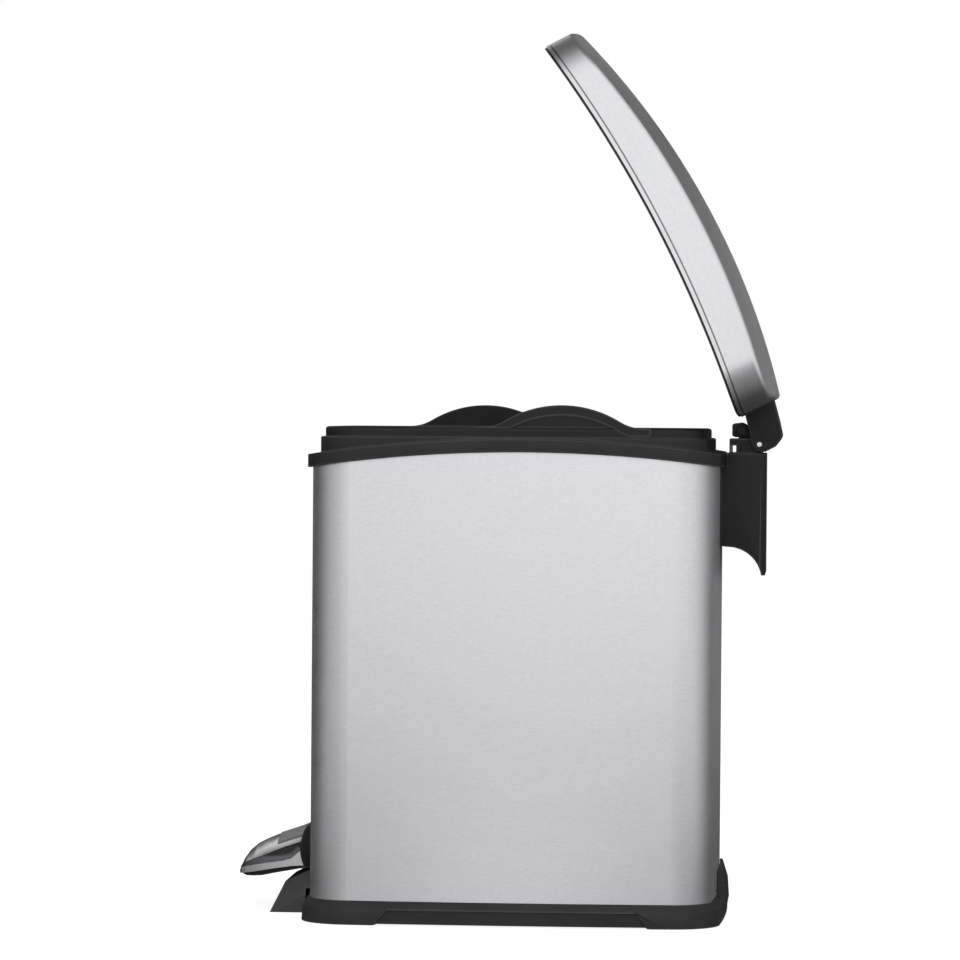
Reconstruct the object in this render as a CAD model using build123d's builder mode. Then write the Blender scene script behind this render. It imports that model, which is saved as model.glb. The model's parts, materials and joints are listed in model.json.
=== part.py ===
from build123d import *
import os
from math import asin, cos, degrees, radians, sin, sqrt

os.makedirs("parts", exist_ok=True)

# Rectangular two-bucket pedal bin. Millimetres, +Z up, floor at Z = 0, pedal towards -Y,
# lid hinge towards +Y. Everything stands in its rest pose: lid open, pedal pressed down.
# Places are worked out from the middle of the steel body, and each finished piece is then moved
# by origin_shift, which puts the origin on the floor under the middle of the whole open bin.

# ---- driving dimensions ----
body_width = 340.0
body_depth = 366.5
wall_bulge = 6.5
corner_radius = 38.0
steel_thickness = 0.9
steel_bottom = 21.5

arch_radius = 1270.0
arch_middle_y = 12.0
band_bottom = 419.7
band_height = 11.8
band_overhang = 4.4
ring_top = 432.5
ring_wall_inset = 6.5
ring_wall = 6.5

rim_height = 8.9
rim_inset = 10.5
bucket_wall = 2.0
bucket_bottom = 88.0
grip_radius = 98.0
grip_top = 461.6
grip_offset_y = 44.3

base_overhang = 7.5
floor_gap = 0.6

pin_y = 217.2
pin_z = 427.6
pin_radius = 2.6
lid_open_angle = 62.6
lid_edge = 437.3
liner_lip = 2.3
lid_arch_radius = 1150.0
lid_arch_middle_y = 15.0
crown_top = 484.0
crown_middle_y = 20.0
crown_length_radius = 695.0
crown_width_radius = 1361.0
lid_edge_round = 4.5

crank_radius = 21.0
crank_angle = 37.0
rod_y = 172.0
rod_radius = 3.0
strap_y = 200.3

fulcrum_y = -9.0
fulcrum_z = 62.0
lever_rear = 181.0
running_gap = 0.05
seat_gap = 0.2

housing_back = 223.4
housing_bottom = 309.5
housing_top = 419.5
housing_half = 58.0
housing_wall = 2.5

origin_shift = Location((0, 8.8, 0))

# ---- places worked out from them ----
half_width = body_width / 2
half_depth = body_depth / 2
hinge_axis = Axis((0, pin_y, pin_z), (1, 0, 0))
crank_y = pin_y - crank_radius * cos(radians(crank_angle))
crank_z = pin_z + crank_radius * sin(radians(crank_angle))
crank_closed = crank_angle - lid_open_angle
rod_travel = crank_radius * (sin(radians(crank_angle)) - sin(radians(crank_closed)))
# the lever swings equally above and below level, which gives the rod its whole travel
lever_angle = degrees(asin(rod_travel / 2 / lever_rear))
lever_plane = Plane(
    origin=(0, fulcrum_y, fulcrum_z),
    x_dir=(0, cos(radians(lever_angle)), sin(radians(lever_angle))),
    z_dir=(1, 0, 0),
)
rod_pin_z = fulcrum_z + lever_rear * sin(radians(lever_angle))
print(f"rod travel {rod_travel:.4f} mm, lever swing {2 * lever_angle:.4f} degrees")


# ---- shapes that several pieces share ----
def body_outline(grow):
    """Plan outline of the steel body, with slightly bowed sides, made larger by grow."""
    x = half_width + grow
    y = half_depth + grow
    corner_x = x - wall_bulge
    corner_y = y - wall_bulge
    with BuildSketch() as outline:
        with BuildLine():
            ThreePointArc((-corner_x, -corner_y), (0, -y), (corner_x, -corner_y))
            ThreePointArc((corner_x, -corner_y), (x, 0), (corner_x, corner_y))
            ThreePointArc((corner_x, corner_y), (0, y), (-corner_x, corner_y))
            ThreePointArc((-corner_x, corner_y), (-x, 0), (-corner_x, -corner_y))
        make_face()
        fillet(outline.vertices(), corner_radius + grow)
    return outline.sketch


def under_arch(apex, middle_y=arch_middle_y, radius=arch_radius):
    """Everything below a long arch, such as the one that the body's rim follows."""
    reach = 240.0
    end_z = apex - radius + sqrt(radius**2 - reach**2)
    with BuildPart() as block:
        with BuildSketch(Plane.YZ):
            with BuildLine():
                ThreePointArc(
                    (middle_y - reach, end_z),
                    (middle_y, apex),
                    (middle_y + reach, end_z),
                )
                Polyline(
                    (middle_y + reach, end_z),
                    (middle_y + reach, -50),
                    (middle_y - reach, -50),
                    (middle_y - reach, end_z),
                )
            make_face()
        extrude(amount=260, both=True)
    return block.part


def prism(grow, low, high):
    """The body outline, made larger by grow, from one height to another."""
    with BuildPart() as block:
        with BuildSketch(Plane.XY.offset(low)):
            add(body_outline(grow))
        extrude(amount=high - low)
    return block.part


def bar_across(points, half):
    """A side profile of (y, z) points pushed out to plus and minus half in X."""
    with BuildPart() as block:
        with BuildSketch(Plane.YZ):
            with BuildLine():
                Polyline(*points, close=True)
            make_face()
        extrude(amount=half, both=True)
    return block.part


def save(piece, label):
    piece.part = piece.part.moved(origin_shift)
    piece.part.label = label
    export_step(piece.part, f"parts/{label}.step")


# ---- base ----
foot_radius = 13.0
foot_x = 132.0
foot_y = 146.0
foot_height = floor_gap + 2.0
pocket_gap = 0.3
pocket_depth = 2.0
tray_turn = 15.0
tray_lean = 1.5
tray_foot = 1.2
tray_floor = 5.0
tray_clear = 60.0
shelf_wall = 3.0
locating_gap = 1.5
locating_height = 18.0
tab_half = 62.0
tab_profile = [(178, 8), (191.4, 8), (190.2, 27), (185.2, 43), (178, 43)]
relief_profile = [(-119, 0), (-107, 14), (113, 14), (125, 0)]
relief_depth = 4.0
arch_length = 240.0
arch_middle = 3.0
arch_height = 0.9
doorway_width = 120.0
doorway_middle_z = 34.0
doorway_height = 20.9

with BuildPart() as base_tray:
    with BuildSketch(Plane.XY.offset(floor_gap)):
        add(body_outline(base_overhang))
    with BuildSketch(Plane.XY.offset(tray_turn)):
        add(body_outline(base_overhang - tray_lean))
    loft()
    with BuildSketch(Plane.XY.offset(tray_turn)):
        add(body_outline(base_overhang - tray_lean))
    with BuildSketch(Plane.XY.offset(steel_bottom)):
        add(body_outline(tray_foot))
    loft()
    # upstand behind the body, over the foot of the steel
    add(bar_across(tab_profile, tab_half))
    add(prism(seat_gap, steel_bottom, tray_clear), mode=Mode.SUBTRACT)
    # the tray is open above its floor
    add(prism(-shelf_wall - locating_gap, tray_floor, tray_clear), mode=Mode.SUBTRACT)
    # wall that locates the steel from inside
    with BuildSketch(Plane.XY.offset(steel_bottom - 1)):
        add(body_outline(-locating_gap))
        add(body_outline(-locating_gap - shelf_wall), mode=Mode.SUBTRACT)
    extrude(amount=locating_height)
    # pedal lever passes over the front edge
    with Locations((0, -half_depth, doorway_middle_z)):
        Box(doorway_width, 30, doorway_height, mode=Mode.SUBTRACT)
    # long relief in each side between the feet
    with BuildPart(mode=Mode.PRIVATE) as relief:
        add(bar_across(relief_profile, body_width))
        add(prism(base_overhang - relief_depth, -10, 30), mode=Mode.SUBTRACT)
    add(relief.part, mode=Mode.SUBTRACT)
    with Locations((0, arch_middle, floor_gap)):
        Box(2 * body_width, arch_length, 2 * arch_height, mode=Mode.SUBTRACT)
    with BuildSketch(Plane.XY.offset(foot_height)):
        with GridLocations(2 * foot_x, 2 * foot_y, 2, 2):
            Circle(foot_radius + pocket_gap)
    extrude(amount=-2 * pocket_depth, mode=Mode.SUBTRACT)
save(base_tray, "base_tray")

with BuildPart() as rubber_feet:
    with BuildSketch():
        with GridLocations(2 * foot_x, 2 * foot_y, 2, 2):
            Circle(foot_radius)
    extrude(amount=foot_height)
    chamfer(rubber_feet.edges().filter_by(GeomType.CIRCLE).group_by(Axis.Z)[0], 0.5)
save(rubber_feet, "rubber_feet")

guard_half = 67.0
guard_hollow_half = 47.0
guard_profile = [(-180, 0), (-222.5, 0), (-210.5, 26.5), (-190, 36.5), (-180, 36.5)]
guard_hollow = [(-180, -1), (-217, -1), (-207.5, 22), (-189, 31), (-180, 31)]
guard_crease = (37.0, 18.5)
guard_lean = (-21.0, 11.5, 26.0)
guard_gap = 0.3

with BuildPart() as front_guard:
    add(bar_across(guard_profile, guard_half))
    # above a rising crease the sides lean in to the crest
    for side in (-1, 1):
        crease = Vector(0, *guard_crease)
        facet_normal = crease.cross(Vector(*guard_lean))
        facet_normal = Vector(side * facet_normal.X, facet_normal.Y, facet_normal.Z)
        facet = Plane(origin=(side * guard_half, -222, 0.5), x_dir=crease, z_dir=facet_normal)
        with BuildSketch(facet):
            Rectangle(200, 200)
        extrude(amount=60, mode=Mode.SUBTRACT)
    add(prism(base_overhang + guard_gap, -5, steel_bottom + guard_gap), mode=Mode.SUBTRACT)
    add(prism(1.8, steel_bottom, tray_clear), mode=Mode.SUBTRACT)
    # hollow underneath
    add(bar_across(guard_hollow, guard_hollow_half), mode=Mode.SUBTRACT)
save(front_guard, "front_guard")

# ---- steel body ----
slot_half = 57.0
slot_low = 28.0
slot_high = 108.0
slot_round = 10.0
slot_mid = (slot_low + slot_high) / 2
rod_slot_low = 336.0
rod_slot_high = 390.0
rod_slot_width = 18.0
screw_x = 44.0
screw_heights = (346.0, 396.0)
screw_hole = 2.1

with BuildPart() as outer_shell:
    with BuildSketch(Plane.XY.offset(steel_bottom)):
        add(body_outline(0))
        add(body_outline(-steel_thickness), mode=Mode.SUBTRACT)
    extrude(amount=ring_top - steel_bottom)
    add(under_arch(band_bottom + 8), mode=Mode.INTERSECT)
    with BuildSketch(Plane.XZ.offset(half_depth - 20)):
        with Locations((0, slot_mid)):
            RectangleRounded(2 * slot_half, slot_high - slot_low, slot_round)
    extrude(amount=40, mode=Mode.SUBTRACT)
    with BuildSketch(Plane.XZ.offset(20 - half_depth)):
        with Locations((0, (rod_slot_low + rod_slot_high) / 2)):
            RectangleRounded(rod_slot_width, rod_slot_high - rod_slot_low, 4)
        for z in screw_heights:
            with Locations((-screw_x, z), (screw_x, z)):
                Circle(screw_hole)
    extrude(amount=-40, mode=Mode.SUBTRACT)
save(outer_shell, "outer_shell")

lip_grow = 3.0
lip_thick = 1.4
sleeve_slack = 0.3
sleeve_wall = 2.2
sleeve_depth = 4.5
frame_start = 150.0
frame_low = slot_low - 20
frame_high = slot_high + 20


def slot_block(grow):
    """The pedal slot's rounded opening, made larger by grow, as a block through the front wall."""
    with BuildPart() as block:
        with BuildSketch(Plane.XZ.offset(frame_start)):
            with Locations((0, slot_mid)):
                RectangleRounded(
                    2 * (slot_half + grow),
                    slot_high - slot_low + 2 * grow,
                    slot_round + grow,
                )
        extrude(amount=60)
    return block.part


with BuildPart() as slot_frame:
    # lip on the outside of the steel
    add(slot_block(lip_grow))
    add(prism(lip_thick, frame_low, frame_high), mode=Mode.INTERSECT)
    add(prism(seat_gap, frame_low, frame_high), mode=Mode.SUBTRACT)
    # sleeve through the steel
    with BuildPart(mode=Mode.PRIVATE) as sleeve:
        add(slot_block(-sleeve_slack))
        add(prism(1.0, frame_low, frame_high), mode=Mode.INTERSECT)
        add(prism(-sleeve_depth, frame_low, frame_high), mode=Mode.SUBTRACT)
    add(sleeve.part)
    add(slot_block(-sleeve_slack - sleeve_wall), mode=Mode.SUBTRACT)
    # the tray's locating wall stands just behind the sleeve's lower edge
    with Locations((0, -half_depth + 4, slot_low)):
        Box(140, 8, 2 * (steel_bottom + locating_height - 0.8 - slot_low), mode=Mode.SUBTRACT)
save(slot_frame, "slot_frame")

# ---- top ring ----
ring_inner = ring_wall_inset + ring_wall
ring_low = 396.0
groove_inset = 4.0
groove_top = band_bottom + 8.3
divider_half = 5.0
divider_height = 18.0

with BuildPart() as top_ring:
    with BuildSketch(Plane.XY.offset(380)):
        add(body_outline(band_overhang))
        add(body_outline(-ring_inner), mode=Mode.SUBTRACT)
    extrude(amount=80)
    add(under_arch(band_bottom + band_height), mode=Mode.INTERSECT)
    add(under_arch(band_bottom), mode=Mode.SUBTRACT)
    # groove that the steel's top edge stands in
    with BuildPart(mode=Mode.PRIVATE) as groove:
        add(prism(seat_gap, 380, 460))
        add(prism(-groove_inset, 380, 460), mode=Mode.SUBTRACT)
        add(under_arch(groove_top), mode=Mode.INTERSECT)
    add(groove.part, mode=Mode.SUBTRACT)
    # upright wall that the buckets hang from
    with BuildSketch(Plane.XY.offset(ring_low)):
        add(body_outline(-ring_wall_inset))
        add(body_outline(-ring_inner), mode=Mode.SUBTRACT)
    extrude(amount=ring_top - ring_low)
    chamfer(top_ring.faces().sort_by(Axis.Z)[-1].outer_wire().edges(), 0.8)
    # bar between the two buckets
    with BuildPart(mode=Mode.PRIVATE) as divider:
        with Locations((0, 0, ring_top - divider_height / 2)):
            Box(2 * divider_half, body_depth, divider_height)
        add(prism(-ring_inner + 0.5, 380, 460), mode=Mode.INTERSECT)
    add(divider.part)
save(top_ring, "top_ring")


# ---- buckets ----
rim_width = 7.5
bucket_gap = 1.0
bucket_taper = 10.0
wall_inset = 6.0
inner_corner = 24.0
rim_round = 2.5
bottom_round = 5.0
web_thick = 2.6
grip_width = 156.0
grip_blend = 40.0
grip_foot = ring_top + 2


def bucket_outline(inset):
    """Plan outline of the bucket on the +X side, drawn in by inset from its rim's edge."""
    inner_x = bucket_gap + inset
    with BuildSketch() as outline:
        add(body_outline(-rim_inset - inset))
        with Locations((inner_x + half_width, 0)):
            Rectangle(body_width, 2 * body_depth, mode=Mode.INTERSECT)
        fillet(outline.vertices().group_by(Axis.X)[0], inner_corner - inset)
    return outline.sketch


def grip_outline(drop):
    """Side outline of the arched grip, blended into the rim at both ends and lowered by drop."""
    rim_top = ring_top + rim_height - drop
    with BuildSketch() as outline:
        with Locations((0, grip_top - grip_radius - drop)):
            Circle(grip_radius)
        with Locations((0, rim_top - grip_radius / 2)):
            Rectangle(2.2 * grip_radius, grip_radius)
        crossings = outline.vertices().filter_by(lambda v: abs(v.Y - rim_top) < 0.1)
        fillet(crossings.filter_by(lambda v: abs(v.X) < grip_radius), grip_blend)
    return outline.sketch


with BuildPart() as bucket_right:
    # rim that hangs over the ring
    with BuildSketch(Plane.XY.offset(ring_top)):
        add(bucket_outline(0))
    extrude(amount=rim_height)
    fillet(bucket_right.faces().sort_by(Axis.Z)[-1].edges(), rim_round)
    # tapered body
    with BuildSketch(Plane.XY.offset(ring_top + 1)):
        add(bucket_outline(wall_inset))
    with BuildSketch(Plane.XY.offset(bucket_bottom)):
        add(bucket_outline(wall_inset + bucket_taper))
    loft()
    fillet(bucket_right.faces().sort_by(Axis.Z)[0].edges(), bottom_round)
    with BuildPart(mode=Mode.PRIVATE) as bucket_space:
        with BuildSketch(Plane.XY.offset(ring_top + rim_height + 1)):
            add(bucket_outline(wall_inset + bucket_wall))
        with BuildSketch(Plane.XY.offset(bucket_bottom + bucket_wall)):
            add(bucket_outline(wall_inset + bucket_taper + bucket_wall))
        loft()
    add(bucket_space.part, mode=Mode.SUBTRACT)
    # arched grip on the outer long side: a thin web with the rim carried over it
    grip_plane = Plane.YZ.offset(half_width - rim_inset - rim_width)
    with BuildSketch(grip_plane):
        with Locations((grip_offset_y, 0)):
            add(grip_outline(0))
        with Locations((grip_offset_y, grip_foot + grip_radius / 2)):
            Rectangle(grip_width, grip_radius, mode=Mode.INTERSECT)
    extrude(amount=web_thick)
    with BuildSketch(grip_plane):
        with Locations((grip_offset_y, 0)):
            add(grip_outline(0))
            add(grip_outline(rim_height), mode=Mode.SUBTRACT)
        with Locations((grip_offset_y, grip_foot + grip_radius / 2)):
            Rectangle(grip_width, grip_radius, mode=Mode.INTERSECT)
    extrude(amount=rim_width - 1.5)
save(bucket_right, "bucket_right")

with BuildPart() as bucket_left:
    add(bucket_right.part.moved(origin_shift.inverse()).rotate(Axis.Z, 180))
save(bucket_left, "bucket_left")


# ---- lid, built closed and then turned open about its hinge ----
def lid_dome(inset):
    """The lid's solid shape, crowned both ways, drawn in by inset all over."""
    top = crown_top - inset
    axis_z = crown_top - crown_width_radius
    reach = 260.0
    end_z = top - crown_length_radius + sqrt(crown_length_radius**2 - reach**2)
    with BuildPart() as crown:
        with BuildSketch(Plane.YZ):
            with BuildLine():
                ThreePointArc(
                    (crown_middle_y - reach, end_z),
                    (crown_middle_y, top),
                    (crown_middle_y + reach, end_z),
                )
                Polyline(
                    (crown_middle_y + reach, end_z),
                    (crown_middle_y + reach, 300),
                    (crown_middle_y - reach, 300),
                    (crown_middle_y - reach, end_z),
                )
            make_face()
        revolve(axis=Axis((0, 0, axis_z), (0, 1, 0)))
    with BuildPart() as dome:
        with BuildSketch(Plane.XY.offset(400)):
            add(body_outline(band_overhang - inset))
        extrude(amount=120)
        add(crown.part, mode=Mode.INTERSECT)
        fillet(dome.faces().sort_by(Axis.Z)[-1].edges(), lid_edge_round - inset)
    return dome.part


def opened(part):
    """A lid piece turned from closed to its rest pose, open."""
    return part.rotate(hinge_axis, -lid_open_angle)


lid_wall = 0.9
hem_height = 3.2
hem_groove = 1.3
hem_depth = 0.4
liner_gap = 0.3
liner_wall = 2.0
bracket_half = 53.0
plate = 4.0
rivet_places = [(-32, 444), (32, 444), (-12, 444), (12, 444)]
rivet_shank = 2.0
rivet_hole = 2.1
rivet_head = 3.4
rivet_head_height = 1.2
rivet_length = 7.0
lid_back = half_depth + band_overhang
liner_inset = lid_wall + liner_gap

with BuildPart() as lid_skin:
    add(lid_dome(0))
    add(lid_dome(lid_wall), mode=Mode.SUBTRACT)
    add(under_arch(lid_edge, lid_arch_middle_y, lid_arch_radius), mode=Mode.SUBTRACT)
    # rolled groove just above the lower edge
    with BuildPart(mode=Mode.PRIVATE) as hem:
        add(under_arch(lid_edge + hem_height + hem_groove, lid_arch_middle_y, lid_arch_radius))
        add(under_arch(lid_edge + hem_height, lid_arch_middle_y, lid_arch_radius), mode=Mode.SUBTRACT)
        add(prism(band_overhang - hem_depth, 400, 480), mode=Mode.SUBTRACT)
    add(hem.part, mode=Mode.SUBTRACT)
    with BuildSketch(Plane.XZ.offset(20 - lid_back)):
        with Locations(*rivet_places):
            Circle(rivet_hole)
    extrude(amount=-40, mode=Mode.SUBTRACT)
lid_skin.part = opened(lid_skin.part)
save(lid_skin, "lid_skin")

with BuildPart() as lid_liner:
    add(lid_dome(liner_inset))
    add(lid_dome(liner_inset + liner_wall), mode=Mode.SUBTRACT)
    add(under_arch(lid_edge - liner_lip, lid_arch_middle_y, lid_arch_radius), mode=Mode.SUBTRACT)
    with BuildSketch(Plane.XZ.offset(20 - lid_back)):
        with Locations(*rivet_places):
            Circle(2 * rivet_hole)
    extrude(amount=-40, mode=Mode.SUBTRACT)
lid_liner.part = opened(lid_liner.part)
save(lid_liner, "lid_liner")

# soft stops that hang from the liner's ceiling and land on the buckets' rims
bumper_x = 100.0
bumper_y = -166.5
bumper_radius = 3.5
bumper_gap = 0.5

with BuildPart() as lid_bumpers:
    with BuildSketch(Plane.XY.offset(ring_top + rim_height + bumper_gap)):
        with Locations((-bumper_x, bumper_y), (bumper_x, bumper_y)):
            Circle(bumper_radius)
    extrude(amount=30)
    add(lid_dome(liner_inset + liner_wall), mode=Mode.INTERSECT)
lid_bumpers.part = opened(lid_bumpers.part)
save(lid_bumpers, "lid_bumpers")

# the bracket from the side, first its outside and then the space between its plates
outer_profile = [
    (185.5, 428.8),
    (203.6, 424.6),
    (212.3, 421.8),
    (221.1, 422.3),
    (224.2, 426.0),
    (225.6, 430.0),
    (225.6, 439.3),
    (222.3, 446.6),
    (219.6, 449.8),
    (207.3, 453.2),
    (185.5, 457.9),
]
inner_profile = [
    (191.8, 434.5),
    (191.8, 415.0),
    (220.8, 415.0),
    (222.0, 428.0),
    (219.3, 444.4),
    (217.6, 446.3),
    (206.0, 450.0),
    (191.8, 453.2),
]
rib_profile = [(211, 429), (222.8, 429), (219.8, 445), (208, 450.8)]
web_bottom = 433.25
cheek_x = 5.6
cheek_half = 2.0
hub_radius = 6.8
crank_end_radius = 7.0
crank_pin_radius = 2.5
crank_closed_place = (
    pin_y - crank_radius * cos(radians(crank_closed)),
    pin_z + crank_radius * sin(radians(crank_closed)),
)

with BuildPart() as lid_bracket:
    add(bar_across(outer_profile, bracket_half))
    add(bar_across(inner_profile, bracket_half - plate), mode=Mode.SUBTRACT)
    # web and cover stop above the fixed ears, leaving only the side plates below
    with Locations((0, pin_y - 5, web_bottom)):
        Box(
            2 * (bracket_half - plate),
            60,
            18.5,
            mode=Mode.SUBTRACT,
            align=(Align.CENTER, Align.CENTER, Align.MAX),
        )
    # crank cheeks, hub and the rib that ties them to the cover
    for side in (-1, 1):
        cheek_plane = Plane.YZ.offset(cheek_x * side)
        with BuildSketch(cheek_plane):
            with Locations((pin_y, pin_z)):
                Circle(hub_radius)
            with Locations(crank_closed_place):
                Circle(crank_end_radius)
            make_hull()
        extrude(amount=cheek_half, both=True)
        with BuildSketch(cheek_plane):
            with BuildLine():
                Polyline(*rib_profile, close=True)
            make_face()
        extrude(amount=cheek_half, both=True)
    with BuildSketch(Plane.YZ):
        with Locations((pin_y, pin_z)):
            Circle(pin_radius + running_gap)
    extrude(amount=100, both=True, mode=Mode.SUBTRACT)
    with BuildSketch(Plane.YZ):
        with Locations(crank_closed_place):
            Circle(crank_pin_radius)
    extrude(amount=20, both=True, mode=Mode.SUBTRACT)
    add(prism(band_overhang + 0.05, 400, 480), mode=Mode.SUBTRACT)
    with BuildSketch(Plane.XZ.offset(-185)):
        with Locations(*rivet_places):
            Circle(rivet_hole)
    extrude(amount=-12, mode=Mode.SUBTRACT)
lid_bracket.part = opened(lid_bracket.part)
save(lid_bracket, "lid_bracket")

rivet_inside = lid_back - lid_wall - 1.8
rivet_outside = 191.9

with BuildPart() as bracket_rivets:
    for face_y in (rivet_inside, rivet_outside):
        with BuildSketch(Plane.XZ.offset(-face_y)):
            with Locations(*rivet_places):
                Circle(rivet_head)
        extrude(amount=-rivet_head_height)
    with BuildSketch(Plane.XZ.offset(-rivet_inside)):
        with Locations(*rivet_places):
            Circle(rivet_shank)
    extrude(amount=-rivet_length)
bracket_rivets.part = opened(bracket_rivets.part)
save(bracket_rivets, "bracket_rivets")

with BuildPart() as crank_pin:
    with BuildSketch(Plane.YZ):
        with Locations((crank_y, crank_z)):
            Circle(crank_pin_radius)
    extrude(amount=cheek_x + cheek_half, both=True)
save(crank_pin, "crank_pin")

# ---- rear housing and hinge ----
housing_hollow = [
    (170, 338.0),
    (191, 337.5),
    (210.2, 331.2),
    (housing_back - housing_wall, 313.0),
    (housing_back - housing_wall, housing_top - housing_wall),
    (170, housing_top - housing_wall),
]
housing_round = 5.0
boss_radius = 5.0
boss_bore = 1.7
step_z = 407.2
crank_slot_front = 187.5
crank_slot_back = 219.2
crank_slot_width = 21.0

with BuildPart() as rear_housing:
    with BuildPart(mode=Mode.PRIVATE) as housing_outside:
        with BuildSketch(Plane.YZ):
            with BuildLine():
                Polyline(
                    (219.8, housing_bottom),
                    (housing_back, housing_bottom),
                    (housing_back, housing_top),
                    (180, housing_top),
                    (180, 336.0),
                    (190, 335.0),
                )
                ThreePointArc((190, 335.0), (208.5, 328.5), (219.8, housing_bottom))
            make_face()
        extrude(amount=housing_half, both=True)
        fillet(housing_outside.edges().filter_by(Axis.Z).group_by(Axis.Y)[-1], housing_round)
    add(housing_outside.part)
    add(bar_across(housing_hollow, housing_half - housing_wall), mode=Mode.SUBTRACT)
    # screw bosses
    with BuildSketch(Plane.XZ.offset(-180)):
        for z in screw_heights:
            with Locations((-screw_x, z), (screw_x, z)):
                Circle(boss_radius)
    extrude(amount=-(housing_back - housing_wall - 179.5))
    # the housing's face follows the steel, and steps back round the ring's band
    add(prism(seat_gap, 300, step_z), mode=Mode.SUBTRACT)
    add(prism(band_overhang + 0.3, step_z, 440), mode=Mode.SUBTRACT)
    with BuildSketch(Plane.XZ.offset(-180)):
        for z in screw_heights:
            with Locations((-screw_x, z), (screw_x, z)):
                Circle(boss_bore)
    extrude(amount=-28, mode=Mode.SUBTRACT)
    # the crank and the push rod work through a slot in the top
    with Locations((0, (crank_slot_front + crank_slot_back) / 2, housing_top)):
        Box(crank_slot_width, crank_slot_back - crank_slot_front, 12, mode=Mode.SUBTRACT)
save(rear_housing, "rear_housing")

screw_start = half_depth - steel_thickness - 3.4

with BuildPart() as housing_screws:
    for radius, length in ((3.8, 2.0), (1.65, 26.0)):
        with BuildSketch(Plane.XZ.offset(-screw_start)):
            for z in screw_heights:
                with Locations((-screw_x, z), (screw_x, z)):
                    Circle(radius)
        extrude(amount=-length)
save(housing_screws, "housing_screws")

ear_inner = 44.0
ear_outer = 48.4
ear_round = 5.0
ear_front = 190.2
window_place = (194.0, 423.2)
window_size = (4.6, 6.6)

with BuildPart() as hinge_ears:
    for side in (-1, 1):
        with BuildSketch(Plane.YZ.offset(side * (ear_inner + ear_outer) / 2)):
            with BuildLine():
                Polyline(
                    (ear_front, housing_top),
                    (pin_y + 2.5, housing_top),
                    (pin_y + 4.6, pin_z - 2),
                    (pin_y, pin_z + ear_round),
                    (ear_front, pin_z + ear_round),
                    close=True,
                )
            make_face()
            with Locations((pin_y, pin_z)):
                Circle(ear_round)
                Circle(pin_radius + 0.01, mode=Mode.SUBTRACT)
            with Locations(window_place):
                Rectangle(*window_size, mode=Mode.SUBTRACT)
        extrude(amount=(ear_outer - ear_inner) / 2, both=True)
        with Locations((side * (ear_inner - 4), 206, housing_top + 1.1)):
            Box(9, 16, 2.2)
save(hinge_ears, "hinge_ears")

with BuildPart() as hinge_pin:
    with BuildSketch(Plane.YZ):
        with Locations((pin_y, pin_z)):
            Circle(pin_radius)
    extrude(amount=bracket_half + 1.6, both=True)
    chamfer(hinge_pin.edges().filter_by(GeomType.CIRCLE), 0.4)
save(hinge_pin, "hinge_pin")

# ---- push rod with its strap, guides and damper ----
joggle_low = 364.0
joggle_high = 384.0
eye_half_z = 6.5
eye_y = crank_y - 1.9
eye_play = 0.6
rod_pin_radius = 3.0
clevis_top = 9.0
clevis_gap = 9.4
clevis_width = 18.0
clevis_depth = 12.0
clevis_height = 22.0

with BuildPart() as push_rod:
    with BuildSketch(Plane.XY.offset(rod_pin_z + clevis_top)):
        with Locations((0, rod_y)):
            Circle(rod_radius)
    extrude(amount=joggle_high - rod_pin_z - clevis_top)
    # clevis at the foot, either side of the lever
    with Locations((0, rod_y, rod_pin_z + 2)):
        Box(clevis_width, clevis_depth, clevis_height)
        Box(
            clevis_gap,
            20,
            40,
            mode=Mode.SUBTRACT,
            align=(Align.CENTER, Align.CENTER, Align.MAX),
        )
    with Locations((0, rod_y, rod_pin_z)):
        Box(clevis_gap, 20, 16, mode=Mode.SUBTRACT)
    with BuildSketch(Plane.YZ):
        with Locations((rod_y, rod_pin_z)):
            Circle(rod_pin_radius + 0.01)
    extrude(amount=20, both=True, mode=Mode.SUBTRACT)
    # flat strap: back through the wall and up to the crank
    with BuildSketch(Plane.YZ):
        with BuildLine():
            Polyline(
                (rod_y - 3, joggle_low),
                (strap_y + 3, joggle_low),
                (strap_y + 3, crank_z - 1),
                (strap_y - 2.6, crank_z - 1),
                (strap_y - 2.6, joggle_high),
                (rod_y - 3, joggle_high),
                close=True,
            )
        make_face()
        with Locations((eye_y, crank_z)):
            SlotCenterToCenter(4.6, 2 * eye_half_z)
            with Locations((-eye_half_z - 5.2, 0)):
                Rectangle(10, 40, mode=Mode.SUBTRACT)
            SlotCenterToCenter(4.4, 2 * (crank_pin_radius + eye_play), mode=Mode.SUBTRACT)
    extrude(amount=3, both=True)
save(push_rod, "push_rod")

with BuildPart() as rod_pin:
    with BuildSketch(Plane.YZ):
        with Locations((rod_y, rod_pin_z)):
            Circle(rod_pin_radius)
    extrude(amount=clevis_width / 2 + 0.6, both=True)
save(rod_pin, "rod_pin")

guide_heights = (128.0, 300.0)
damper_x = 17.0
damper_low = 96.0
damper_high = 186.0
damper_radius = 7.0
damper_bore = 5.5
piston_low = 146.0
piston_rod_radius = 2.5
arm_z = 222.0
arm_half_z = 3.0
foot_plate = 14.0

with BuildPart() as rod_guides:
    for z in guide_heights:
        with Locations((0, (rod_y + half_depth) / 2 - 3, z)):
            Box(22, 24, 14)
    add(prism(-steel_thickness - 0.1, 100, 340), mode=Mode.INTERSECT)
    with BuildSketch(Plane.XY.offset(100)):
        with Locations((0, rod_y)):
            Circle(rod_radius + running_gap)
    extrude(amount=240, mode=Mode.SUBTRACT)
    with BuildSketch(Plane.XY.offset(100)):
        with Locations((damper_x, rod_y)):
            Circle(damper_radius + 0.05)
    extrude(amount=240, mode=Mode.SUBTRACT)
save(rod_guides, "rod_guides")

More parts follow.
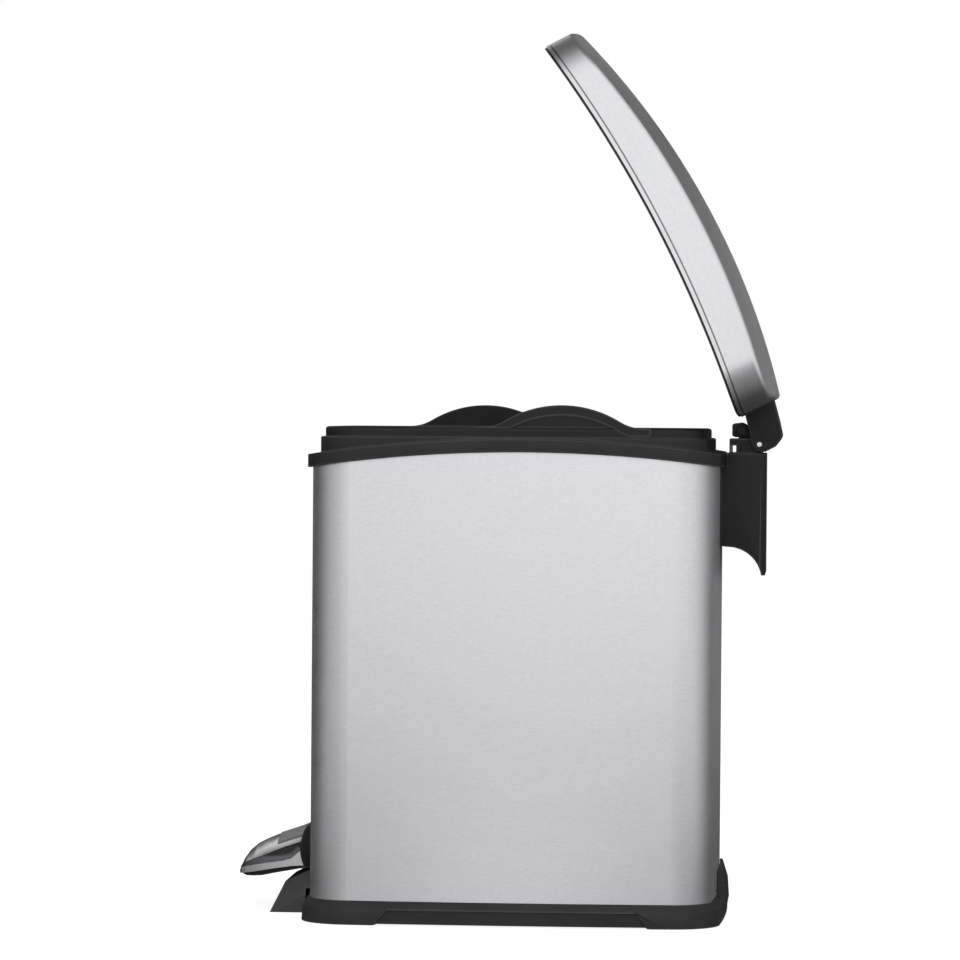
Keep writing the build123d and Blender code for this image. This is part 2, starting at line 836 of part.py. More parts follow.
with BuildPart() as damper_cylinder:
    with BuildSketch(Plane.XY.offset(damper_low)):
        with Locations((damper_x, rod_y)):
            Circle(damper_radius)
    extrude(amount=damper_high - damper_low)
    with BuildSketch(Plane.XY.offset(damper_low + 3)):
        with Locations((damper_x, rod_y)):
            Circle(damper_bore)
    extrude(amount=damper_high - damper_low - 6, mode=Mode.SUBTRACT)
    with BuildSketch(Plane.XY.offset(damper_low + 10)):
        with Locations((damper_x, rod_y)):
            Circle(piston_rod_radius + running_gap)
    extrude(amount=damper_high, mode=Mode.SUBTRACT)
save(damper_cylinder, "damper_cylinder")

with BuildPart() as damper_piston:
    with BuildSketch(Plane.XY.offset(piston_low)):
        with Locations((damper_x, rod_y)):
            Circle(damper_bore - running_gap)
    extrude(amount=8)
    with BuildSketch(Plane.XY.offset(piston_low)):
        with Locations((damper_x, rod_y)):
            Circle(piston_rod_radius)
    extrude(amount=arm_z + arm_half_z + 1 - piston_low)
save(damper_piston, "damper_piston")

with BuildPart() as damper_arm:
    with BuildSketch(Plane.XY.offset(arm_z - arm_half_z)):
        with BuildLine():
            Polyline((-6, 166), (damper_x + 5, 166), (damper_x + 5, 178), (-6, 178), close=True)
        make_face()
        with Locations((0, rod_y)):
            Circle(rod_radius + 0.01, mode=Mode.SUBTRACT)
        with Locations((damper_x, rod_y)):
            Circle(piston_rod_radius + 0.01, mode=Mode.SUBTRACT)
    extrude(amount=2 * arm_half_z)
save(damper_arm, "damper_arm")

with BuildPart() as damper_bracket:
    with Locations((damper_x, rod_y - 1, damper_low - 3)):
        Box(foot_plate, foot_plate, 6)
    with Locations((damper_x, rod_y + 4, (damper_low - 6 + tray_floor) / 2)):
        Box(foot_plate, 4, damper_low - 6 - tray_floor)
    with Locations((damper_x, rod_y - 1, tray_floor + 1.5)):
        Box(foot_plate, foot_plate, 3)
save(damper_bracket, "damper_bracket")

# ---- pedal and lever ----
bar_half = 4.2
bar_low = -6.0
bar_high = 6.0
lever_front = 190.0
fulcrum_radius = 4.0
boss = 9.0
plate_half = 30.0
plate_length = 18.0
plate_thick = 5.0

with BuildPart() as pedal_lever:
    with BuildSketch(lever_plane):
        with BuildLine():
            Polyline(
                (-lever_front, bar_low),
                (lever_rear + 7, bar_low),
                (lever_rear + 7, bar_high),
                (-lever_front, bar_high),
                close=True,
            )
        make_face()
        Circle(boss)
        Circle(fulcrum_radius + running_gap, mode=Mode.SUBTRACT)
        with Locations((lever_rear, 0)):
            SlotCenterToCenter(1.4, 2 * rod_pin_radius + 0.5, mode=Mode.SUBTRACT)
    extrude(amount=bar_half, both=True)
    # cross plate that carries the pedal
    with BuildSketch(lever_plane):
        with Locations((-lever_front + plate_length / 2, 0)):
            Rectangle(plate_length, plate_thick)
    extrude(amount=plate_half, both=True)
save(pedal_lever, "pedal_lever")

ear_gap = 5.0
ear_thick = 3.0

with BuildPart() as pivot_bracket:
    with Locations((0, fulcrum_y, tray_floor + 1.25)):
        Box(46, 44, 2.5)
    for side in (-1, 1):
        with BuildSketch(Plane.YZ.offset(side * (ear_gap + ear_thick / 2))):
            with BuildLine():
                Polyline(
                    (fulcrum_y - 20, tray_floor),
                    (fulcrum_y + 20, tray_floor),
                    (fulcrum_y + boss, fulcrum_z + boss),
                    (fulcrum_y - boss, fulcrum_z + boss),
                    close=True,
                )
            make_face()
            with Locations((fulcrum_y, fulcrum_z)):
                Circle(fulcrum_radius + 0.01, mode=Mode.SUBTRACT)
        extrude(amount=ear_thick / 2, both=True)
save(pivot_bracket, "pivot_bracket")

with BuildPart() as pivot_pin:
    with BuildSketch(Plane.YZ):
        with Locations((fulcrum_y, fulcrum_z)):
            Circle(fulcrum_radius)
    extrude(amount=11, both=True)
    chamfer(pivot_pin.edges().filter_by(GeomType.CIRCLE), 0.5)
save(pivot_pin, "pivot_pin")

# Pedal sections from root to tip: distance out, half width, underside, ledge, ridge and crest height.
pedal_sections = (
    (192.0, 49.5, 39.0, 57.0, 63.5, 76.0),
    (198.0, 50.0, 38.0, 53.3, 62.0, 73.4),
    (205.0, 50.3, 36.7, 47.5, 59.8, 70.9),
    (212.0, 50.5, 35.5, 45.4, 57.5, 68.6),
    (222.0, 50.4, 33.6, 44.0, 53.6, 65.2),
    (232.0, 50.0, 31.5, 42.4, 49.3, 61.0),
    (240.0, 49.0, 31.0, 41.0, 46.5, 56.8),
    (247.0, 47.0, 31.0, 39.4, 43.6, 51.0),
    (250.7, 44.5, 32.0, 38.0, 41.0, 45.5),
    (252.8, 41.0, 33.5, 36.0, 38.0, 39.5),
)
nose_start = 240.0
nose_end = pedal_sections[-1][0]
ridge_inset = 5.0
scoop_inset = 7.5
ledge_slope = 0.8


def pedal_form(inset, lower):
    """The pedal's crowned wedge with its scooped sides, drawn in by inset and carried down by lower."""
    with BuildPart() as form:
        for out, half, under, ledge, ridge, crest in pedal_sections:
            # the nose draws in along the pedal as well, most at its tip
            nose_pull = inset * max(0, (out - nose_start) / (nose_end - nose_start))
            ridge_x = half - ridge_inset - inset
            with BuildSketch(Plane.XZ.offset(out - nose_pull)):
                with BuildLine():
                    Polyline(
                        (-ridge_x, ridge - inset),
                        (-half + scoop_inset + inset, ledge + ledge_slope - inset),
                        (-half + inset, ledge - inset),
                        (-half + inset, under - lower),
                        (half - inset, under - lower),
                        (half - inset, ledge - inset),
                        (half - scoop_inset - inset, ledge + ledge_slope - inset),
                        (ridge_x, ridge - inset),
                    )
                    ThreePointArc((ridge_x, ridge - inset), (0, crest - inset), (-ridge_x, ridge - inset))
                make_face()
        loft(ruled=True)
    return form.part


cover_wall = 1.2
pad_front = 219.0
pad_half = 36.0
pad_proud = 0.8
pad_length = 34.0
pad_middle = pad_length / 2 - pad_front
cover_edge = [(-270, 30), (-250, 33.2), (-222, 38), (-205, 40.5), (-180, 42), (-180, 0), (-270, 0)]
root_half = 50.0
root_top = 78.0
root_low = 39.0
root_back = -176.0


def pedal_root(grow):
    """Rounded block behind the pedal's cover that fills the slot in the body."""
    with BuildPart() as root:
        with BuildSketch(Plane.YZ):
            with BuildLine():
                ThreePointArc(
                    (-190.5 - grow, root_top + grow),
                    (-196.8 - grow, 57.5),
                    (-192.6 - grow, root_low - grow),
                )
                Polyline(
                    (-192.6 - grow, root_low - grow),
                    (root_back, root_low - grow),
                    (root_back, root_top + grow),
                    (-190.5 - grow, root_top + grow),
                )
            make_face()
        extrude(amount=root_half + grow, both=True)
    return root.part


with BuildPart() as pedal_cover:
    add(pedal_form(0, 0))
    add(pedal_form(cover_wall, 20), mode=Mode.SUBTRACT)
    # lower edge of the pressing
    add(bar_across(cover_edge, 80), mode=Mode.SUBTRACT)
    add(pedal_root(0.15), mode=Mode.SUBTRACT)
    with Locations((0, pad_middle, 70)):
        Box(2 * pad_half + 0.4, pad_length + 0.4, 60, mode=Mode.SUBTRACT)
save(pedal_cover, "pedal_cover")

with BuildPart() as pedal_pad:
    add(pedal_form(-pad_proud, 0))
    add(pedal_form(cover_wall + 0.1, 30), mode=Mode.SUBTRACT)
    with Locations((0, pad_middle, 75)):
        Box(2 * pad_half, pad_length, 50, mode=Mode.INTERSECT)
    add(pedal_root(0.15), mode=Mode.SUBTRACT)
save(pedal_pad, "pedal_pad")

underside_gap = 0.5
underside_wall = 1.8
socket_gap = 0.1
socket_back = 6.0

with BuildPart() as pedal_underside:
    add(pedal_form(cover_wall + underside_gap, 0))
    # hollow from below
    with BuildPart(mode=Mode.PRIVATE) as pedal_space:
        add(pedal_form(cover_wall + underside_wall + 1.2, 20))
        with Locations((0, -224, 40)):
            Box(120, 50, 100, mode=Mode.INTERSECT)
    add(pedal_space.part, mode=Mode.SUBTRACT)
    add(pedal_root(0))
    # socket for the lever and its cross plate
    with BuildSketch(lever_plane):
        with Locations(((plate_length + socket_back) / 2 - lever_front, 0)):
            Rectangle(plate_length + socket_back, plate_thick + 2 * socket_gap)
    extrude(amount=plate_half + 2 * socket_gap, both=True, mode=Mode.SUBTRACT)
    with BuildSketch(lever_plane):
        with Locations((plate_length / 2 + socket_back - lever_front, 0)):
            Rectangle(
                plate_length + 2 * socket_back + 2 * socket_gap,
                bar_high - bar_low + 2 * socket_gap,
            )
    extrude(amount=bar_half + socket_gap, both=True, mode=Mode.SUBTRACT)
save(pedal_underside, "pedal_underside")
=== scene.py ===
import json
from math import cos, radians, sin

import bpy
from mathutils import Matrix, Vector

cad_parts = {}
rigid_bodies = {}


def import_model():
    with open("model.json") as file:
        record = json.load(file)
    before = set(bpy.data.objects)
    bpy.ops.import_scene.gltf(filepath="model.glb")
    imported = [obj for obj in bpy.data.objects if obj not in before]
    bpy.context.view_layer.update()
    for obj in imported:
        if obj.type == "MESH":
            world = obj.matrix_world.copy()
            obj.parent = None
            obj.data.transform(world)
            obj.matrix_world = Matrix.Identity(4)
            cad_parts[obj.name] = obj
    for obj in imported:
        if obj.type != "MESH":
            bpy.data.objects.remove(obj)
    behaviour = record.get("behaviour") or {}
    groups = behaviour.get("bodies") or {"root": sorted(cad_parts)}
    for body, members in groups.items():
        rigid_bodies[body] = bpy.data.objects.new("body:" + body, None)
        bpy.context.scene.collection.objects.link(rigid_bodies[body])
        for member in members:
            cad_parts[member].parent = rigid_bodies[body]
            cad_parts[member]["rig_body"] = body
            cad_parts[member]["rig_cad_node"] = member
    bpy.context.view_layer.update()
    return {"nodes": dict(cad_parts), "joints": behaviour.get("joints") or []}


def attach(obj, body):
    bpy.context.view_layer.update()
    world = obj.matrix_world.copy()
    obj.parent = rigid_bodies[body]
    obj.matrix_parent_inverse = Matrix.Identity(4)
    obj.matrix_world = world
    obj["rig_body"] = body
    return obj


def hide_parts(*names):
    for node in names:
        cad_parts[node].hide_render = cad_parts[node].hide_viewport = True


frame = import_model()
nodes = frame["nodes"]


# ---- Base tray ----
# Black polypropylene moulding that the whole bin stands on. Its rim slopes up to the foot of
# the steel, each long side is relieved between the corners, and a tab rises behind the body.
class Amount:
    """One number that varies over a surface. Sums written with it add their Math nodes."""

    def __init__(self, finish, socket):
        self.finish = finish
        self.socket = socket

    def worked(self, operation, first, second):
        return self.finish.node("Math", {"operation": operation}, {0: first, 1: second})

    def __add__(self, other):
        return self.worked("ADD", self, other)

    def __radd__(self, other):
        return self.worked("ADD", other, self)

    def __sub__(self, other):
        return self.worked("SUBTRACT", self, other)

    def __rsub__(self, other):
        return self.worked("SUBTRACT", other, self)

    def __mul__(self, other):
        return self.worked("MULTIPLY", self, other)

    def __rmul__(self, other):
        return self.worked("MULTIPLY", other, self)


class Finish:
    """A surface finish: one Principled shader. Values that don't vary are set on its sockets."""

    def __init__(self, name, **plain):
        self.material = bpy.data.materials.new(name)
        self.material.use_nodes = True
        self.tree = self.material.node_tree
        self.shader = self.tree.nodes["Principled BSDF"]
        for socket, value in plain.items():
            self.shader.inputs[socket.replace("_", " ")].default_value = value

    def join(self, socket, value):
        """Links an amount to a socket, or writes a plain value on it."""
        if isinstance(value, Amount):
            self.tree.links.new(value.socket, socket)
        else:
            socket.default_value = value

    def node(self, kind, settings, values, out=0):
        """Adds a node: its settings first, then the values or links of its sockets."""
        made = self.tree.nodes.new("ShaderNode" + kind)
        for name, value in settings.items():
            if name == "stops":
                ramp = made.color_ramp.elements
                for position, _ in value[1:-1]:
                    ramp.new(position)
                for stop, (position, shade) in zip(ramp, value):
                    stop.position = position
                    stop.color = (shade, shade, shade, 1)
            else:
                setattr(made, name, value)
        for name, value in values.items():
            self.join(made.inputs[name], value)
        return Amount(self, made.outputs[out])

    def place(self, stretch=(1, 1, 1), turn=0.0, pivot=(0, 0, 0)):
        """Object coordinates, turned about X through the pivot and then stretched."""
        coordinates = self.node("TexCoord", {}, {}, out="Object")
        turning = {"Vector": coordinates, "Center": pivot, "Angle": turn}
        turned = self.node("VectorRotate", {"rotation_type": "X_AXIS"}, turning)
        return self.node("Mapping", {}, {"Vector": turned, "Scale": stretch})

    def cloud(self, place, scale, detail=2.0, roughness=0.5):
        """Noise between 0 and 1, scale in cells to the metre."""
        values = {"Vector": place, "Scale": scale, "Detail": detail, "Roughness": roughness}
        return self.node("TexNoise", {}, values, out="Fac")

    def clear(self, amount, low, high):
        """Stretches low to high of an amount over 0 to 1, and clips it there."""
        return self.node("MapRange", {}, {"Value": amount, "From Min": low, "From Max": high}, out="Result")

    def tint(self, amount, first, second):
        """A colour between two colours, of which the first may be a mixed one."""
        mix = {"data_type": "RGBA"}
        colours = {6: first if isinstance(first, Amount) else (*first, 1), 7: (*second, 1), 0: amount}
        return self.node("Mix", mix, colours, out=2)

    def edges(self, reach):
        """1 along the piece's edges and 0 away from them, where a rounded normal leaves the true one."""
        rounded = self.node("Bevel", {"samples": 6}, {"Radius": reach})
        true = self.node("NewGeometry", {}, {}, out="Normal")
        alike = self.node("VectorMath", {"operation": "DOT_PRODUCT"}, {0: rounded, 1: true}, out="Value")
        return self.clear(1 - alike, 0.01, 0.13)

    def relief(self, height, depth):
        """A bump from a height between 0 and 1, depth in metres."""
        return self.node("Bump", {}, {"Height": height, "Distance": depth, "Strength": 1.0}, out="Normal")

    def show(self, **varying):
        for socket, value in varying.items():
            self.join(self.shader.inputs[socket.replace("_", " ")], value)
        return self.material


def moulded(name, dark, light, gloss, grain=0.00003, painted_highlight_grey=0.085):
    """Injection moulded plastic: a fine spark-eroded texture grain deep, handling marks, and a
    painted highlight along the edges: a paler grey standing for light caught on them."""
    finish = Finish(name, Specular_IOR_Level=0.3)
    pebble = finish.cloud(finish.place(), 1900, detail=3)
    handling = finish.cloud(finish.place((1, 1, 2.4)), 21, detail=5, roughness=0.62)
    smear = finish.clear(handling, 0.42, 0.72)
    # Painted highlight: the edges are tinted towards a paler grey, standing for light they catch.
    edge = finish.edges(0.0028)
    skin = finish.tint(finish.clear(pebble * 0.4 + handling * 0.6, 0.35, 0.68), dark, light)
    return finish.show(
        Base_Color=finish.tint(edge * (0.55 + handling * 0.6), skin, (painted_highlight_grey, painted_highlight_grey, painted_highlight_grey)),
        Roughness=gloss + smear * 0.10 + pebble * 0.05 - edge * 0.08,
        Normal=finish.relief(pebble, grain),
    )


def dress(node, material):
    """Gives a CAD node its finish."""
    nodes[node].data.materials.clear()
    nodes[node].data.materials.append(material)


def softened(node, body, material, edge, sharp=28):
    """A copy of a CAD node with its triangles merged and its edges rounded, which stands for it.
    Edges that turn by more than sharp, in degrees, are rounded by edge."""
    weld_within = 0.00001
    flat_within = radians(0.2)
    smooth_within = radians(32)
    bpy.ops.object.select_all(action="DESELECT")
    nodes[node].select_set(True)
    bpy.context.view_layer.objects.active = nodes[node]
    bpy.ops.object.duplicate()
    piece = bpy.context.object
    piece.name = node + "_finished"
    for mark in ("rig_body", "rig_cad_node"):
        del piece[mark]
    bpy.ops.mesh.customdata_custom_splitnormals_clear()
    bpy.ops.object.mode_set(mode="EDIT")
    bpy.ops.mesh.select_all(action="SELECT")
    bpy.ops.mesh.remove_doubles(threshold=weld_within)
    bpy.ops.mesh.dissolve_limited(angle_limit=flat_within)
    bpy.ops.object.mode_set(mode="OBJECT")
    rounding = piece.modifiers.new("rounding", "BEVEL")
    rounding.width = edge
    rounding.segments = 3
    rounding.angle_limit = radians(sharp)
    rounding.use_clamp_overlap = False
    bpy.ops.object.modifier_apply(modifier="rounding")
    bpy.ops.object.shade_smooth_by_angle(angle=smooth_within)
    piece.data.materials.clear()
    piece.data.materials.append(material)
    piece.parent = None
    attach(piece, body)
    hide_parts(node)


base_plastic = moulded("base_plastic", (0.017, 0.017, 0.018), (0.030, 0.030, 0.032), 0.46, painted_highlight_grey=0.05)
softened("base_tray", "body", base_plastic, edge=0.0009)

# ---- Feet ----
# Four discs of black rubber with chamfered lower edges, pressed into pockets under the tray's
# corners. They carry a little dust.
rubber = Finish("foot_rubber", Specular_IOR_Level=0.2)
rubber_dust = rubber.cloud(rubber.place(), 160, detail=4)
rubber_skin = rubber.cloud(rubber.place(), 2400)
clean_rubber = (0.012, 0.012, 0.012)
dusty_rubber = (0.05, 0.048, 0.045)
rubber.show(
    Base_Color=rubber.tint(rubber.clear(rubber_dust, 0.45, 0.75), clean_rubber, dusty_rubber),
    Roughness=0.72 + rubber_dust * 0.15,
    Normal=rubber.relief(rubber_skin, 0.00004),
)
dress("rubber_feet", rubber.material)

# ---- Pedal pivot inside the base ----
# A pressed and zinc-plated steel bracket stands on the tray's floor, with a turned steel pin
# through its two ears for the pedal's lever.
def plated(name, shade, gloss):
    """Zinc plate on pressed steel: grey, faintly spangled, a little dull."""
    finish = Finish(name, Metallic=1.0)
    spangle = finish.node("TexVoronoi", {}, {"Vector": finish.place(), "Scale": 170}, out="Distance")
    dulled = finish.cloud(finish.place(), 60, detail=4)
    return finish.show(
        Base_Color=finish.tint(spangle * 0.6 + dulled * 0.5, [part * 0.72 for part in shade], shade),
        Roughness=gloss + dulled * 0.22,
        Normal=finish.relief(spangle, 0.00003),
    )


def turned(name, shade, gloss):
    """Bright turned steel: fine rings across the pin's axis, which lies along X."""
    finish = Finish(name, Metallic=1.0)
    rings = finish.cloud(finish.place((1, 0.06, 0.06)), 5200, detail=1)
    worn = finish.cloud(finish.place(), 300)
    return finish.show(
        Base_Color=finish.tint(worn, [part * 0.85 for part in shade], shade),
        Roughness=gloss + rings * 0.12,
        Normal=finish.relief(rings, 0.000012),
    )


zinc = plated("zinc_plate", (0.62, 0.63, 0.65), 0.30)
pin_steel = turned("pin_steel", (0.78, 0.78, 0.79), 0.18)
softened("pivot_bracket", "body", zinc, edge=0.0004)
dress("pivot_pin", pin_steel)

# ---- Steel body ----
# One sheet of 0.9 mm stainless steel wrapped round the four bowed sides and brushed along its
# length, so the grain runs level. It stands in the tray and its top edge is up in the ring.
def brushed(name, shade, gloss, turn=0.0, along=(9, 9, 85), hem=None, painted_under_shade=False):
    """Brushed stainless steel. The grain is drawn out level after a turn about X. A hem is a dark
    line painted along a long arc, given by its middle, its radius and the hinge that the turn is
    about: painted shade standing for the shadow in a shallow groove along that arc. A pressing can
    also be painted a dark grey where its faces lean under: painted shade standing for the dark
    surroundings that a scoop in it mirrors."""
    finish = Finish(name, Metallic=1.0, Anisotropic=0.35)
    grain = finish.cloud(finish.place(along, turn), 10, detail=4, roughness=0.7)
    broad = finish.cloud(finish.place((1, 1, 3), turn), 14, detail=3)
    fleck = finish.cloud(finish.place((1, 1, 2.2), turn), 260, detail=2)
    tone = finish.clear(grain * 0.45 + fleck * 0.35 + broad * 0.20, 0.36, 0.64)
    colour = finish.tint(tone, [part * 0.90 for part in shade], shade)
    if hem:
        middle, radius, hinge = hem
        painted_groove_shade = (0.22, 0.22, 0.23)
        line_outside, line_inside = 0.0010, 0.0003
        shut = finish.place((0, 1, 1), turn, hinge)
        reach = finish.node("VectorMath", {"operation": "DISTANCE"}, {0: shut, 1: middle}, out="Value")
        off = finish.node("Math", {"operation": "ABSOLUTE"}, {0: reach - radius})
        # Painted shade: a dark grey line along the groove, standing for the groove's shadow.
        colour = finish.tint(finish.clear(off, line_outside, line_inside), colour, painted_groove_shade)
    if painted_under_shade:
        painted_scoop_shade = (0.17, 0.17, 0.175)
        facing = finish.node("NewGeometry", {}, {}, out="True Normal")
        upward = finish.node("SeparateXYZ", {}, {"Vector": facing}, out="Z")
        # Painted shade: faces that lean under are tinted dark grey, standing for the dark surroundings they
        # mirror.
        colour = finish.tint(finish.clear(upward, -0.10, -0.18), colour, painted_scoop_shade)
    return finish.show(
        Base_Color=colour,
        Roughness=gloss + grain * 0.10 + broad * 0.05 - fleck * 0.04,
        Normal=finish.relief(grain * 0.7 + fleck * 0.3, 0.00004),
    )


bare_steel = (0.925, 0.93, 0.95)
body_steel = brushed("body_steel", bare_steel, 0.34)
dress("outer_shell", body_steel)

# ---- Slot frame ----
# A black plastic liner that covers the cut edge of the pedal's slot in the front of the steel. It
# clips in from the front.
trim_plastic = moulded("trim_plastic", (0.006, 0.006, 0.007), (0.012, 0.012, 0.013), 0.40)
dress("slot_frame", trim_plastic)

# ---- Front guard ----
# A hollow wedge of black plastic, a little greyer than the rest, that clips to the tray under the
# pedal and stops the bin from tipping forwards.
guard_plastic = moulded("guard_plastic", (0.046, 0.046, 0.047), (0.070, 0.070, 0.072), 0.44)
dress("front_guard", guard_plastic)

# ---- Top ring ----
# Black moulding that closes the top of the steel: an arched band outside, a groove for the
# steel's edge, an upright wall inside and a bar between the two buckets.
ring_plastic = moulded("ring_plastic", (0.012, 0.012, 0.013), (0.022, 0.022, 0.024), 0.42, painted_highlight_grey=0.08)
softened("top_ring", "body", ring_plastic, edge=0.0007)

# ---- Buckets ----
# Two lift-out buckets of black plastic, side by side. Each hangs by its rolled rim and has an
# arched grip on its outer side, one set towards the hinge and the other towards the pedal.
bucket_plastic = moulded("bucket_plastic", (0.006, 0.006, 0.007), (0.014, 0.014, 0.015), 0.36, painted_highlight_grey=0.07)
for side in ("right", "left"):
    dress("bucket_" + side, bucket_plastic)

# ---- Rear housing ----
# A black plastic cover behind the body. It carries the hinge and hides the top of the push rod,
# and four screws hold it from inside through the steel.
housing_plastic = moulded("housing_plastic", (0.006, 0.006, 0.007), (0.012, 0.012, 0.014), 0.44)
softened("rear_housing", "body", housing_plastic, edge=0.0007)
dress("housing_screws", zinc)

# ---- Hinge ears and pin ----
# Two black plastic ears stand on the housing, with a drawn steel pin through them. The lid's
# bracket turns on the pin.
dress("hinge_ears", housing_plastic)
softened("hinge_pin", "body", pin_steel, edge=0.0005)

# ---- Push rod and damper ----
# A black-coated steel rod carries the pedal's stroke up the back of the body. Two plastic guides
# hold it to the steel, and an oil damper beside it slows the lid.
coat_dark = (0.008, 0.008, 0.009)
coat_light = (0.014, 0.014, 0.015)
black_coat = moulded("black_coat", coat_dark, coat_light, 0.34, grain=0.00001, painted_highlight_grey=0.03)
softened("push_rod", "rod", black_coat, edge=0.0003)
dress("rod_pin", pin_steel)
dress("rod_guides", trim_plastic)
damper_paint = plated("damper_tube", (0.42, 0.43, 0.45), 0.36)
dress("damper_cylinder", damper_paint)
dress("damper_piston", pin_steel)
dress("damper_arm", zinc)
dress("damper_bracket", zinc)

# ---- Lid ----
# A domed pressing of brushed steel with a shallow groove above its lower edge, over a black liner
# whose lip stands a little below the steel. Two rubber stops inside it land on the buckets' rims,
# and a riveted black bracket joins it to the hinge pin.
lid_hinge = frame["joints"][0]
lid_turn = radians(lid_hinge["range_deg"][1])
hem_middle_when_shut = (0, 0.0238, -0.7127)
hem_radius = 1.15385
hem = (hem_middle_when_shut, hem_radius, lid_hinge["pos_m"])
# The lid's steel carries a painted shade line along its shallow groove.
lid_steel = brushed("lid_steel", bare_steel, 0.34, turn=lid_turn, hem=hem)
dress("lid_skin", lid_steel)
liner_plastic = moulded("liner_plastic", (0.006, 0.006, 0.007), (0.012, 0.012, 0.013), 0.45)
dress("lid_liner", liner_plastic)
dress("lid_bumpers", rubber.material)
softened("lid_bracket", "lid", housing_plastic, edge=0.0006)
dress("bracket_rivets", pin_steel)
dress("crank_pin", black_coat)

# ---- Pedal ----
# A zinc-plated lever under the buckets ends in a foot pedal: a brushed steel pressing over a
# black moulding, with a dull grip let into its crown.
softened("pedal_lever", "pedal", zinc, edge=0.0004)
# The pressing is painted dark grey where its faces lean under: painted shade for the dark surroundings it
# mirrors.
pedal_steel = brushed("pedal_steel", (0.90, 0.905, 0.915), 0.24, along=(9, 85, 9), painted_under_shade=True)
dress("pedal_cover", pedal_steel)
grip = moulded("pedal_grip", (0.17, 0.172, 0.175), (0.24, 0.242, 0.246), 0.50, painted_highlight_grey=0.10)
dress("pedal_pad", grip)
softened("pedal_underside", "pedal", trim_plastic, edge=0.0008, sharp=40)

# ---- Studio ----
# A plain pale floor, a white surround and three soft lamps. Grey cards stand round the bin, seen
# only in reflections, because bare steel looks like steel only when it has something to mirror.

# Each lamp: name, place, the point it is aimed at, width, height and watts.
for lamp_name, place, aim, width, height, power in (
    ("key", (4.4, -0.7, 2.6), (0, 0, 0.45), 2.6, 1.8, 70),
    ("fill", (3.8, 2.2, 1.6), (0, 0, 0.40), 1.6, 1.6, 16),
    ("overhead", (0.4, 0.0, 3.2), (0, 0, 0.40), 2.2, 2.2, 30),
):
    bpy.ops.object.light_add(type="AREA", location=place)
    lamp = bpy.context.object
    lamp.name = lamp_name
    lamp.data.shape = "RECTANGLE"
    lamp.data.size = width
    lamp.data.size_y = height
    lamp.data.energy = power
    lamp.visible_glossy = False
    lamp.rotation_euler = (Vector(aim) - Vector(place)).to_track_quat("-Z", "Y").to_euler()

# The surround is full white to the camera and in reflections, and lights the bin at a lower level.
lighting_level = 0.55
bpy.context.scene.world = bpy.data.worlds.new("surround")
bpy.context.scene.world.use_nodes = True
surround = bpy.context.scene.world.node_tree
background = surround.nodes["Background"]
background.inputs["Color"].default_value = (1, 1, 1, 1)
rays = surround.nodes.new("ShaderNodeLightPath")
seen = rays.outputs["Is Camera Ray"]
for kind in ("Is Glossy Ray", "Is Transmission Ray"):
    either = surround.nodes.new("ShaderNodeMath")
    either.operation = "MAXIMUM"
    surround.links.new(seen, either.inputs[0])
    surround.links.new(rays.outputs[kind], either.inputs[1])
    seen = either.outputs[0]
level_of = surround.nodes.new("ShaderNodeMapRange")
level_of.inputs["To Min"].default_value = lighting_level
surround.links.new(seen, level_of.inputs["Value"])
surround.links.new(level_of.outputs["Result"], background.inputs["Strength"])

# The floor is pale and lit a little from itself towards the camera. Reflections near the bin see it
# in greys instead, which vary to the sides and fall away behind the bin.
floor_size = 9
floor_middle = (-2.6, 0, 0)
floor_glow = 1.45
pale = Finish("pale_floor", Specular_IOR_Level=0.0, Roughness=0.9)
pale.show(Base_Color=(0.80, 0.80, 0.80, 1))
floor_rays = {}
for kind in ("Is Camera Ray", "Is Glossy Ray"):
    floor_rays[kind] = pale.node("LightPath", {}, {}, out=kind)
spot = pale.node("TexCoord", {}, {}, out="Object")
outwards = pale.node("SeparateXYZ", {}, {"Vector": spot}, out="X")
sideways = pale.node("SeparateXYZ", {}, {"Vector": spot}, out="Y")
aside = pale.clear(pale.node("Math", {"operation": "ABSOLUTE"}, {0: sideways}), 0.0, 1.3)
side_fade = ((0.0, 0.62), (0.03, 0.60), (0.24, 0.09), (0.36, 0.12), (0.70, 0.46), (1.0, 0.55))
grey = pale.node("ValToRGB", {"stops": side_fade}, {"Fac": aside}, out="Color")
strength = 0.25 + 0.75 * pale.clear(outwards, -0.05, 0.35)
dull = pale.node("Emission", {}, {"Color": grey, "Strength": strength})
lit = pale.node("Emission", {}, {"Strength": floor_glow})
painted = Amount(pale, pale.shader.outputs[0])
lit_share = floor_rays["Is Camera Ray"] * 0.6
seen_directly = pale.node("MixShader", {}, {0: lit_share, 1: painted, 2: lit})
dull_share = floor_rays["Is Glossy Ray"] * pale.clear(outwards, 3.4, 1.0)
mixed = pale.node("MixShader", {}, {0: dull_share, 1: seen_directly, 2: dull})
pale.tree.links.new(mixed.socket, pale.tree.nodes["Material Output"].inputs["Surface"])
bpy.ops.mesh.primitive_plane_add(size=floor_size, location=floor_middle)
floor = bpy.context.object
floor.name = "floor"
bpy.ops.object.transform_apply(location=True, rotation=False, scale=False)
floor.data.materials.append(pale.material)

